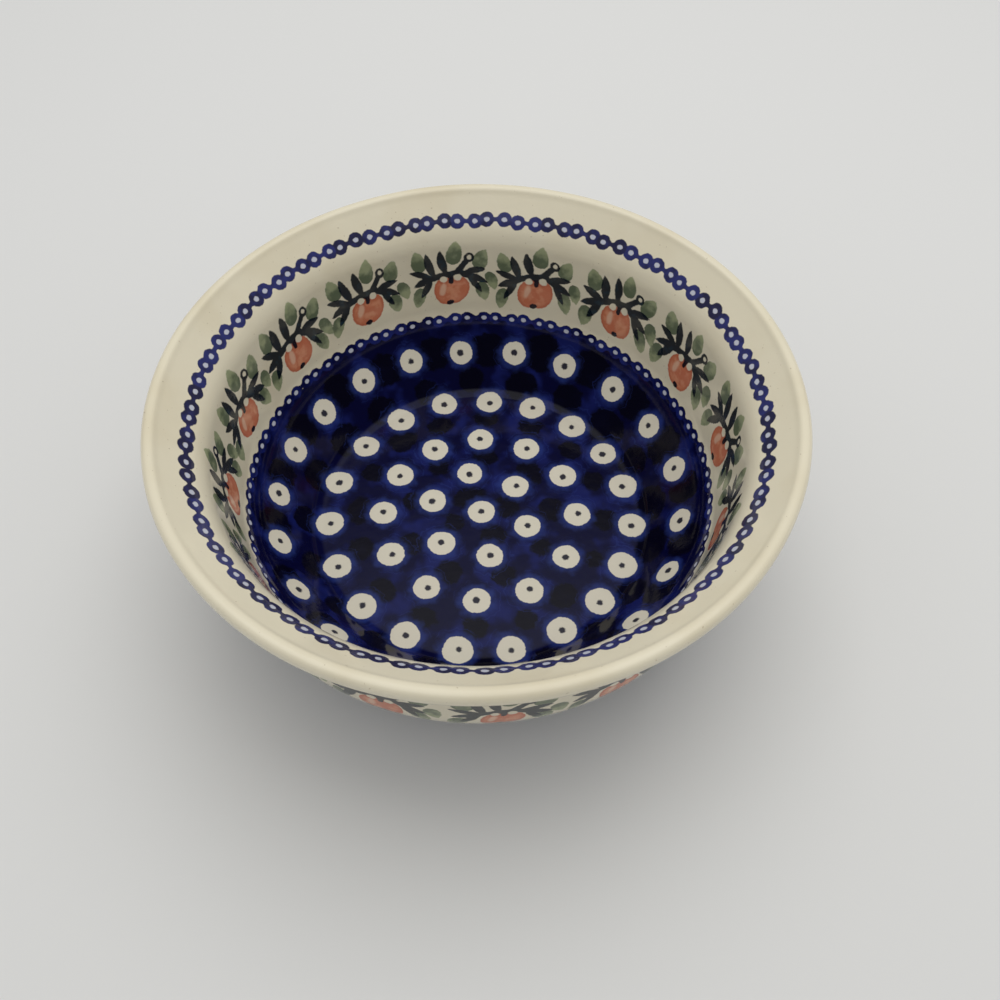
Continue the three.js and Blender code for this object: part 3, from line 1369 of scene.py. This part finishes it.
@dataclass(frozen=True)
class ChainPaint:
    """Blue of the stamped chains, navy where the stamp was full and watery where it ran dry."""

    full: Colour = shade(10, 14, 62)
    watery: Colour = shade(27, 37, 106)
    eye: Colour = shade(188, 191, 204)
    fine: Grain = Grain(900.0, 1.0)
    puddle_grain: Grain = Grain(380.0)
    water_share: float = 0.45
    puddle: Edge = Edge(0.5, 1.0)
    eye_edge: Edge = Edge(0.3, -0.2)
    link_edge: Edge = Edge(0.2, -0.16, 0.97, 0.5)

    def over(self, board: Board, below: Socket) -> Socket:
        """Paints a chain.

        Args:
            board: The material.
            below: Colour under it.

        Returns:
            The colour with the chain.
        """
        water = board.maths("MULTIPLY", board.field(Paint.WATER), self.water_share)
        puddles = board.maths("ADD", water, board.grain(self.puddle_grain))
        colour = board.mix(board.between(puddles, self.puddle), self.full, self.watery)
        ground = board.mix(board.between(board.field(Paint.EYE), self.eye_edge), below, self.eye)
        links = board.cover(board.field(Paint.CHAIN), board.grain(self.fine), self.link_edge)
        return board.mix(links, ground, colour)


@dataclass(frozen=True)
class SprigPaint:
    """Colours of the sprigs: sage and near-black green leaves, and orange-red fruit."""

    sage: Colour = shade(146, 156, 118)
    moss: Colour = shade(74, 92, 64)
    dark: Colour = shade(4, 18, 28)
    dark_wash: Colour = shade(8, 40, 54)
    fruit: Colour = shade(200, 112, 78)
    fruit_light: Colour = shade(216, 144, 108)
    fruit_edge: Colour = shade(180, 84, 54)
    shine: Colour = shade(226, 184, 156)
    fine: Grain = Grain(950.0, 1.0)
    brush: Grain = Grain(300.0)
    pooling: float = 1.5
    pool: Edge = Edge(1.65, 0.95)
    pale_outline: Edge = Edge(0.22, -0.22, 0.92, 0.6)
    ripe_patch: Edge = Edge(0.4, 0.68)
    fruit_skin: Edge = Edge(-1.6, 0.1, 0.75, 3.0)
    shine_outline: Edge = Edge(0.5, -0.6, 0.85, 1.6)
    fruit_outline: Edge = Edge(0.25, -0.2, 0.96, 0.6)
    dark_patch: Edge = Edge(0.52, 0.72, 0.9)
    dark_outline: Edge = Edge(0.2, -0.2, 0.97, 0.5)

    def over(self, board: Board, below: Socket) -> Socket:
        """Paints the sprigs.

        Args:
            board: The material.
            below: Colour under them.

        Returns:
            The colour with the sprigs.
        """
        fine, wash = board.grain(self.fine), board.grain(self.brush)
        pooled = board.maths("ADD", board.field(Paint.TONE), board.maths("MULTIPLY", wash, self.pooling))
        leaf = board.mix(board.between(pooled, self.pool), self.sage, self.moss)
        colour = board.mix(board.cover(board.field(Paint.PALE_LEAF), fine, self.pale_outline), below, leaf)
        fruit = board.ragged(board.field(Paint.FRUIT), fine, self.fruit_outline.rag)
        flesh = board.mix(board.between(wash, self.ripe_patch), self.fruit, self.fruit_light)
        flesh = board.mix(board.cover(fruit, wash, self.fruit_skin), flesh, self.fruit_edge)
        flesh = board.mix(board.cover(board.field(Paint.SHINE), wash, self.shine_outline), flesh, self.shine)
        colour = board.mix(board.between(fruit, self.fruit_outline), colour, flesh)
        ink = board.mix(board.between(wash, self.dark_patch), self.dark, self.dark_wash)
        return board.mix(board.cover(board.field(Paint.DARK_LEAF), fine, self.dark_outline), colour, ink)


@dataclass(frozen=True)
class BareClay:
    """Fired clay without glaze: buff, with sandy grain, rings from turning and small dark specks."""

    buff: Colour = shade(198, 178, 148)
    tan: Colour = shade(172, 146, 114)
    speck: Colour = shade(96, 74, 54)
    cloud_grain: Grain = Grain(60.0, 4.0)
    cloud_patch: Edge = Edge(0.4, 0.66)
    ring_grain: Grain = Grain(40.0, 2.0, (0.4, 0.4, 40.0))
    ring_patch: Edge = Edge(0.45, 0.7, 0.35)
    speck_grain: Grain = Grain(900.0, 0.0)
    speck_patch: Edge = Edge(0.74, 0.8, 0.7)
    sand: Grain = Grain(1400.0, 4.0)
    roughness: float = 0.88
    grit: float = 0.00012

    def material(self, name: str) -> bpy.types.Material:
        """Makes the material.

        Args:
            name: Its name.

        Returns:
            The material.
        """
        board = Board(name)
        clouds = board.between(board.grain(self.cloud_grain), self.cloud_patch)
        colour = board.mix(clouds, self.buff, self.tan)
        rings = board.between(board.grain(self.ring_grain), self.ring_patch)
        colour = board.mix(rings, colour, self.tan)
        specks = board.between(board.grain(self.speck_grain), self.speck_patch)
        colour = board.mix(specks, colour, self.speck)
        board.tree.links.new(colour, board.shader.inputs["Base Color"])
        board.put(board.shader.inputs["Roughness"], self.roughness)
        board.relief(board.grain(self.sand), self.grit)
        return board.material


@dataclass
class TurnedPiece:
    """One piece of the bowl, turned from a section.

    Fields:
        name: Its name in the scene.
        node: The solid that it stands for.
        slot: The record's slot for the piece; it is not used.
        steps_round: Steps round the axis.
        bowl: Sizes of the bowl.
    """

    name: str
    node: str
    slot: str
    steps_round: int
    bowl: BowlSizes = field(default_factory=BowlSizes)

    def section(self) -> Section:
        """Draws the line that is turned."""
        raise NotImplementedError

    def finish(self) -> bpy.types.Material:
        """Makes the material."""
        raise NotImplementedError

    def dress(self, mesh: TurnedMesh) -> None:
        """Draws the decoration on the points, and the map that the colours are kept on.

        Args:
            mesh: The turned mesh.
        """
        raise NotImplementedError

    def build(self, wheel: TurningWheel) -> None:
        """Turns and dresses the piece, and puts it in the solid's place.

        Args:
            wheel: The nodes that turn it.
        """
        section = self.section()
        piece = wheel.turn(self.name, section, self.steps_round, self.finish())
        mesh = TurnedMesh(piece.data, section)
        self.dress(mesh)
        mesh.sharpen()
        piece.data.attributes.remove(piece.data.attributes[PLACE])
        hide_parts(self.node)
        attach(piece, BODY)
        LOG.info("%s: %d faces", self.name, len(piece.data.polygons))


@dataclass
class ClayBody(TurnedPiece):
    """The fired clay, which shows only at the foot ring."""

    spacing: float = 1.2
    foot_spacing: float = 0.3
    foot_margin: float = 2.0
    clay: BareClay = BareClay()

    def section(self) -> Section:
        """Draws the clay's outline, finely at the foot.

        Returns:
            The section, open on the axis.
        """
        skin = self.bowl.skin()
        lengths = skin.lengths()
        near_foot = lengths[int(self.bowl.outer_end(skin))] - self.foot_margin
        past_foot = lengths[-2] + self.foot_margin
        total = skin.length()
        places = np.concatenate([
            np.arange(0, near_foot, self.spacing),
            np.arange(near_foot, past_foot, self.foot_spacing),
            np.linspace(past_foot, total, round((total - past_foot) / self.spacing)),
        ])
        line = skin.sampled(places)
        return Section(line.points, places, total, total, False)

    def finish(self) -> bpy.types.Material:
        """Makes the bare clay."""
        return self.clay.material("bare_clay")

    def dress(self, mesh: TurnedMesh) -> None:
        """Lays out the map of the clay, which has no decoration."""
        mesh.lay_as_bands(1)


@dataclass
class Coat(TurnedPiece):
    """A thin coat of glaze on the clay.

    Fields:
        spacing: Rows of points along the face: each spacing with the length that it holds up to.
        rounded_start: Length over which the coat thins out at its start, or 0.
        rounded_end: Length over which the coat thins out at its end, or 0.
        seat_gap: Gap between the coat and the clay.
        back_spacing: Spacing of the rows of points along the back.
        end_rows: Lengths from either end of the face at which it has rows of its own.
    """

    spacing: tuple[tuple[float, float], ...] = ((TO_END, 0.5),)
    rounded_start: float = 0.0
    rounded_end: float = 0.0
    seat_gap: float = 0.02
    back_spacing: float = 4.0
    end_rows: tuple[float, ...] = (0.05, 0.15)
    cream: CreamGlaze = CreamGlaze()

    FINE_STEP = 0.1
    MAP_BANDS = 4

    def ends(self, skin: Outline) -> tuple[float, float]:
        """Finds the places along the skin where the coat begins and ends."""
        raise NotImplementedError

    def seat(self) -> Outline:
        """Draws the skin under the coat."""
        skin = self.bowl.skin()
        return skin.stretch(*self.ends(skin))

    def face(self) -> Outline:
        """Draws the face of the coat.

        Returns:
            The outline, which comes down to the clay where the coat thins out.
        """
        seat = self.seat()
        length = seat.length()
        steps = np.linspace(0, length, round(length / self.FINE_STEP))
        fine = seat.sampled(np.unique(np.concatenate([seat.lengths(), steps])))
        lengths = fine.lengths()
        share = np.ones(len(lengths))
        for thinning, away in ((self.rounded_start, lengths), (self.rounded_end, lengths[-1] - lengths)):
            if thinning:
                share *= np.sqrt(1 - np.clip(1 - away / thinning, 0, 1) ** 2)
        return fine.lifted(self.seat_gap + (self.bowl.coat - self.seat_gap) * share)

    def rows(self, length: float) -> np.ndarray:
        """Spaces the rows of points along the face.

        Args:
            length: Length of the face.

        Returns:
            The length along the face at each row.
        """
        places = [np.array([0.0, *self.end_rows])]
        start = self.end_rows[-1]
        stop = length - self.end_rows[-1]
        for limit, spacing in self.spacing:
            end = min(limit, stop)
            places.append(np.linspace(start, end, max(round((end - start) / spacing), 1) + 1)[1:])
            start = end
        places.append(length - np.array([*reversed(self.end_rows[:-1]), 0.0]))
        return np.concatenate(places)

    def section(self) -> Section:
        """Draws the coat: its face, then its back along the clay.

        Returns:
            The section.
        """
        face = self.face()
        places = self.rows(face.length())
        front = face.sampled(places).points
        seat = self.seat().lifted(self.seat_gap)
        steps = max(round(seat.length() / self.back_spacing), 2)
        back = seat.sampled(np.linspace(seat.length(), 0, steps + 1)).points
        line = np.concatenate([front, back])
        closed = abs(line[0].real) > TINY and abs(line[-1].real) > TINY
        runs = np.abs(np.diff(line[len(places) - 1:]))
        lengths = np.concatenate([places, places[-1] + np.cumsum(runs)])
        girth = lengths[-1] + (abs(line[0] - line[-1]) if closed else 0.0)
        return Section(line, lengths, face.length(), girth, closed)

    def dress(self, mesh: TurnedMesh) -> None:
        """Lays out the map of a coat that has no decoration."""
        mesh.lay_as_disc()


INNER_DOTS = DotField(
    dots=(
        Ring(1.7, 1, 87.0),
        Ring(17.9, 6, 40.8, shift=-0.4 + 0.85j),
        Ring(34.5, 12, 27.7, drift=1.5, drift_turn=57.0),
        Ring(53.3, 19, 12.0, size=1.04, drift=2.6, drift_turn=166.0),
        Ring(68.8, 21, 6.9, size=0.96, drift=2.4, drift_turn=18.0),
    ),
    dabs=(
        Ring(9.5, 4, 20.0),
        Ring(26.0, 9, 5.0),
        Ring(44.0, 16, 18.0),
        Ring(60.6, 20, 2.0, size=1.4),
        Ring(69.6, 21, 0.4, size=1.5),
    ),
)

FIELD_LINK = ChainStamp(ring_width=2.5, ring_height=2.3, eye_width=1.05, eye_height=0.85)


@dataclass
class CobaltLining(Coat):
    """The dark blue lining of the floor and the lower wall, with its rings of dots."""

    dots: DotField = INNER_DOTS
    cobalt: CobaltGlaze = CobaltGlaze()

    def ends(self, skin: Outline) -> tuple[float, float]:
        """Runs from the middle of the floor to the border."""
        return 0.0, self.bowl.lining_end(skin)

    def finish(self) -> bpy.types.Material:
        """Makes the cobalt glaze.

        Returns:
            The material.
        """
        board = Board("cobalt_glaze")
        board.put(board.shader.inputs["Specular IOR Level"], self.cobalt.gloss)
        return board.glaze_over(self.cobalt.ground(board), self.cobalt.roughness, self.cobalt.ripple)

    def dress(self, mesh: TurnedMesh) -> None:
        """Draws the dots and lays out the map.

        Args:
            mesh: The turned mesh.
        """
        mesh.paint_all(self.dots.draw(mesh, self.bowl.inner_face()))
        mesh.lay_as_disc()


@dataclass(kw_only=True)
class SprigCoat(Coat):
    """A coat with a row of fruit sprigs over a field of blue, which a stamped chain ends in scallops.

    Fields:
        dots: Dots of the blue.
        chain: The chain.
        chain_height: Height of the chain's middle.
        field_drop: How far below the chain's middle the blue is solid.
        sprigs: How the sprigs go round.
        fruit_height: Height of the fruits' lowest points.
    """

    dots: DotField
    chain: Chain
    chain_height: float
    sprigs: StampRow
    fruit_height: float
    field_drop: float = 0.75
    field_grain: Grain = Grain(900.0, 1.0)
    field_edge: Edge = Edge(0.18, -0.18, 1.0, 0.5)
    sprig: FruitSprig = FruitSprig()
    cobalt: CobaltGlaze = CobaltGlaze()
    sprig_paint: SprigPaint = SprigPaint()
    chain_paint: ChainPaint = ChainPaint()

    def finish(self) -> bpy.types.Material:
        """Makes the cream glaze with the sprigs and the blue, which is less glossy.

        Returns:
            The material.
        """
        board = Board(self.node)
        colour = self.sprig_paint.over(board, self.cream.ground(board))
        blue = board.cover(board.field(Paint.COBALT), board.grain(self.field_grain), self.field_edge)
        colour = board.mix(blue, colour, self.cobalt.ground(board))
        colour = self.chain_paint.over(board, colour)
        duller = board.maths("MULTIPLY", blue, self.cobalt.gloss - CLEAR_GLOSS)
        board.put(board.shader.inputs["Specular IOR Level"], board.maths("ADD", duller, CLEAR_GLOSS))
        return board.glaze_over(colour, self.cream.roughness, self.cream.ripple)

    def decorate(self, mesh: TurnedMesh, carrier: Outline, middle: float, foot: float) -> None:
        """Draws the dots, the chain, the blue and the sprigs, and lays out the map.

        Args:
            mesh: The turned mesh.
            carrier: Section of the face that carries the dots.
            middle: Place of the chain's middle.
            foot: Place of the fruits' lowest points.
        """
        mesh.paint_all(self.dots.draw(mesh, carrier))
        links = self.chain.paint(mesh, middle)
        mesh.paint(Paint.COBALT, np.minimum(links, mesh.place - middle + self.field_drop))
        mesh.paint_all(self.sprig.draw(self.sprigs, mesh, foot))
        mesh.lay_as_bands(self.MAP_BANDS)


@dataclass
class BorderGlaze(SprigCoat):
    """The border on the upper wall: a row of fruit sprigs over the scalloped top of the blue."""

    dots: DotField = INNER_DOTS
    chain: Chain = Chain(StampRow(45, 2.0, Side.INSIDE, 0.22, 4.0, 0.1, 23), FIELD_LINK)
    chain_height: float = 33.5
    sprigs: StampRow = StampRow(15, 0.0, Side.INSIDE, 0.5, 4.0, 0.7, 31, drift=2.4, drift_turn=70.0)
    fruit_height: float = 39.5

    def ends(self, skin: Outline) -> tuple[float, float]:
        """Runs from the lining to the rim's coat."""
        return self.bowl.lining_end(skin), self.bowl.border_end(skin)

    def dress(self, mesh: TurnedMesh) -> None:
        """Draws the decoration, up the wall.

        Args:
            mesh: The turned mesh.
        """
        face = self.face()
        middle, foot = (face.length_at_height(height) for height in (self.chain_height, self.fruit_height))
        self.decorate(mesh, self.bowl.inner_face(), middle, foot)


@dataclass
class RimGlaze(Coat):
    """The coat of the flare and the lip, with a stamped chain."""

    chain_paint: ChainPaint = ChainPaint()
    chain: Chain = Chain(StampRow(51, 0.0, Side.INSIDE, 0.3, 5.0, 0.1, 41))
    chain_height: float = 70.7

    def ends(self, skin: Outline) -> tuple[float, float]:
        """Runs from the border over the lip to the outer coat."""
        return self.bowl.border_end(skin), self.bowl.rim_end(skin)

    def finish(self) -> bpy.types.Material:
        """Makes the cream glaze with the chain.

        Returns:
            The material.
        """
        board = Board("rim_glaze")
        colour = self.chain_paint.over(board, self.cream.ground(board))
        return board.glaze_over(colour, self.cream.roughness, self.cream.ripple)

    def dress(self, mesh: TurnedMesh) -> None:
        """Draws the chain and lays out the map.

        Args:
            mesh: The turned mesh.
        """
        self.chain.paint(mesh, self.face().length_at_height(self.chain_height))
        mesh.lay_as_bands(self.MAP_BANDS)


@dataclass
class OuterGlaze(SprigCoat):
    """The coat of the outside: sprigs under the flare, and the blue with its dots down to the foot.

    Fields:
        dots_reach: How far above the chain's middle the section for the dots goes.
    """

    dots: DotField = DotField(
        dots=(Ring(75.0, 21, 4.0),),
        dabs=(Ring(75.0, 21, 12.5), Ring(66.0, 21, 4.0), Ring(81.5, 21, 4.0)),
        seed=71,
    )
    dots_reach: float = 8.0
    chain: Chain = Chain(StampRow(47, 1.0, Side.OUTSIDE, 0.22, 4.0, 0.1, 53), FIELD_LINK)
    chain_height: float = 28.0
    sprigs: StampRow = StampRow(16, 3.0, Side.OUTSIDE, 0.5, 4.0, 0.7, 61)
    fruit_height: float = 33.5

    LOWER_STEPS = 200

    def ends(self, skin: Outline) -> tuple[float, float]:
        """Runs from the rim's coat down to the foot."""
        return self.bowl.rim_end(skin), self.bowl.outer_end(skin)

    def dress(self, mesh: TurnedMesh) -> None:
        """Draws the decoration upwards, against the way that the section runs.

        Args:
            mesh: The turned mesh.
        """
        face = self.face()
        top = face.length_at_fall(self.chain_height + self.dots_reach)
        lower = face.sampled(np.linspace(face.length(), top, self.LOWER_STEPS))
        middle, foot = (-face.length_at_fall(height) for height in (self.chain_height, self.fruit_height))
        mesh.place = -mesh.place
        self.decorate(mesh, lower, middle, foot)


@dataclass
class WellGlaze(Coat):
    """The plain coat inside the foot ring."""

    def ends(self, skin: Outline) -> tuple[float, float]:
        """Runs from the edge of the well to its middle."""
        return len(skin.points) - 2, len(skin.points) - 1

    def finish(self) -> bpy.types.Material:
        """Makes the cream glaze.

        Returns:
            The material.
        """
        board = Board("well_glaze")
        return board.glaze_over(self.cream.ground(board), self.cream.roughness, self.cream.ripple)


@dataclass(frozen=True)
class Studio:
    """A pale floor, soft light from above and behind, and the camera of the photograph.

    Fields:
        sky: Strength of the room's light low down and high up.
        sky_edge: How far up a direction points where it is lowest and where it is highest.
        mirrored: Strength of the room in the glaze, low down and high up.
        mirror_edge: How far up a direction points where the glaze mirrors the one and the other.
        backdrop: Strength of the room where the camera sees it past the floor.
    """

    floor_size: float = 12.0
    floor_colour: Colour = shade(219, 219, 217)
    floor_roughness: float = 0.9
    floor_gloss: float = 0.1
    sky: tuple[float, float] = (0.08, 0.7)
    sky_edge: tuple[float, float] = (0.0, 0.5)
    mirrored: tuple[float, float] = (0.05, 1.1)
    mirror_edge: tuple[float, float] = (0.76, 0.92)
    backdrop: float = 0.66
    window_place: tuple[float, float, float] = (0.1, 0.28, 1.0)
    window_size: tuple[float, float] = (0.9, 0.9)
    window_power: float = 4.4
    eye: tuple[float, float, float] = (0.0, -0.1898, 0.2916)
    target: tuple[float, float, float] = (0.0074, 0.0146, 0.0)
    roll: float = 0.305
    lens: float = 34.308
    sensor: float = 36.0

    def build(self) -> None:
        """Makes the floor, the light and the camera."""
        self._floor()
        self._light()
        self._window()
        self._camera()

    def _floor(self) -> None:
        """Lays the floor."""
        half = self.floor_size / 2
        mesh = bpy.data.meshes.new("floor")
        corners = [(-half, -half, 0), (half, -half, 0), (half, half, 0), (-half, half, 0)]
        mesh.from_pydata(corners, [], [(0, 1, 2, 3)])
        floor = bpy.data.objects.new("floor", mesh)
        bpy.context.scene.collection.objects.link(floor)
        board = Board("floor_paper")
        board.shader.inputs["Base Color"].default_value = self.floor_colour
        board.shader.inputs["Roughness"].default_value = self.floor_roughness
        board.shader.inputs["Specular IOR Level"].default_value = self.floor_gloss
        mesh.materials.append(board.material)

    def _light(self) -> None:
        """Sets the light of the room, which is brighter high up."""
        scene = bpy.context.scene
        scene.view_settings.view_transform = "Standard"
        world = bpy.data.worlds.new("room")
        world.use_nodes = True
        tree = world.node_tree
        background = tree.nodes["Background"]
        background.inputs["Color"].default_value = (1.0, 1.0, 1.0, 1.0)
        way = tree.nodes.new("ShaderNodeSeparateXYZ")
        tree.links.new(tree.nodes.new("ShaderNodeTexCoord").outputs["Generated"], way.inputs["Vector"])
        path = tree.nodes.new("ShaderNodeLightPath")
        strength = tree.nodes.new("ShaderNodeMix")
        tree.links.new(path.outputs["Is Glossy Ray"], strength.inputs["Factor"])
        for socket, edge, levels in (("A", self.sky_edge, self.sky), ("B", self.mirror_edge, self.mirrored)):
            climb = tree.nodes.new("ShaderNodeMapRange")
            climb.interpolation_type = "SMOOTHSTEP"
            climb.inputs["From Min"].default_value, climb.inputs["From Max"].default_value = edge
            climb.inputs["To Min"].default_value, climb.inputs["To Max"].default_value = levels
            tree.links.new(way.outputs["Z"], climb.inputs["Value"])
            tree.links.new(climb.outputs["Result"], strength.inputs[socket])
        seen = tree.nodes.new("ShaderNodeMix")
        tree.links.new(path.outputs["Is Camera Ray"], seen.inputs["Factor"])
        tree.links.new(strength.outputs["Result"], seen.inputs["A"])
        seen.inputs["B"].default_value = self.backdrop
        tree.links.new(seen.outputs["Result"], background.inputs["Strength"])
        scene.world = world

    def _window(self) -> None:
        """Hangs one large soft lamp above and behind, which the glaze doesn't mirror."""
        light = bpy.data.lights.new("window", "AREA")
        light.shape = "RECTANGLE"
        light.size, light.size_y = self.window_size
        light.energy = self.window_power
        lamp = bpy.data.objects.new("window", light)
        lamp.location = self.window_place
        lamp.rotation_euler = (-Vector(self.window_place)).to_track_quat("-Z", "Y").to_euler()
        lamp.visible_glossy = False
        bpy.context.scene.collection.objects.link(lamp)

    def _camera(self) -> None:
        """Sets the camera where the photograph was taken."""
        data = bpy.data.cameras.new("camera")
        data.sensor_width = self.sensor
        data.lens = self.lens
        camera = bpy.data.objects.new("camera", data)
        aim = (Vector(self.target) - Vector(self.eye)).to_track_quat("-Z", "Y")
        camera.rotation_mode = "QUATERNION"
        camera.rotation_quaternion = aim @ Quaternion((0, 0, 1), math.radians(self.roll))
        camera.location = self.eye
        bpy.context.scene.collection.objects.link(camera)
        bpy.context.scene.camera = camera


def main() -> None:
    """Builds the pieces and the studio."""
    logging.basicConfig(level=logging.INFO, format="%(name)s: %(message)s")
    wheel = TurningWheel()
    pieces = (
        ClayBody("bowl_clay", "clay_body", "clay", 240),
        CobaltLining("lining_coat", "cobalt_lining", "lining", 640, spacing=((TO_END, 0.65),)),
        BorderGlaze("border_coat", "border_glaze", "border", 960),
        RimGlaze("rim_coat", "rim_glaze", "rim", 1200, spacing=((8.6, 0.36), (TO_END, 0.55))),
        OuterGlaze(
            "outer_coat", "outer_glaze", "outside", 880,
            spacing=((12.0, 1.0), (TO_END, 0.75)), rounded_end=1.6,
        ),
        WellGlaze("well_coat", "foot_well_glaze", "well", 128, spacing=((TO_END, 1.5),), rounded_start=1.6),
    )
    for piece in pieces:
        piece.build(wheel)
    Studio().build()


if __name__ == "__main__":
    main()
